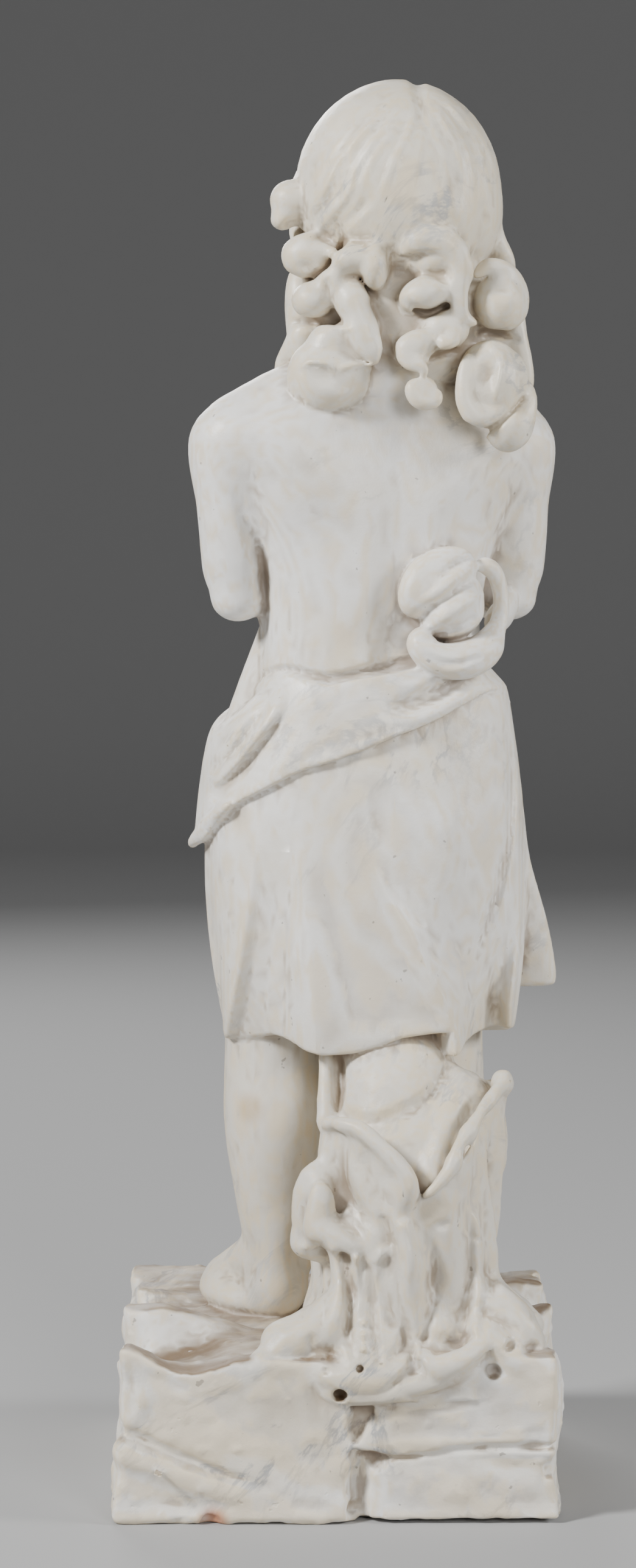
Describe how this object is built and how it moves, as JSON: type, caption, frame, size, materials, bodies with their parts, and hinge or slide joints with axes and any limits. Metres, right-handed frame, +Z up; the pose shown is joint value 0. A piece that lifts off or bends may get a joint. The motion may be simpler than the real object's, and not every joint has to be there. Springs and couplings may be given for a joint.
{
  "type": "marble statue",
  "caption": "Carved marble girl seen with bare back, draped skirt and curled hair, standing against a torn tree stump on a rough rock base.",
  "frame": {"origin": "middle of the rock's flat underside", "axes": "+Z up, the figure faces -Y, her left side is +X"},
  "size_m": [0.2521, 0.2418, 0.8042],
  "materials": {
    "marble": "honed white marble with faint grey veins, cream patina and brown dirt in the hollows"
  },
  "bodies": {
    "root": {"marble_statue": "marble"}
  },
  "joints": []
}
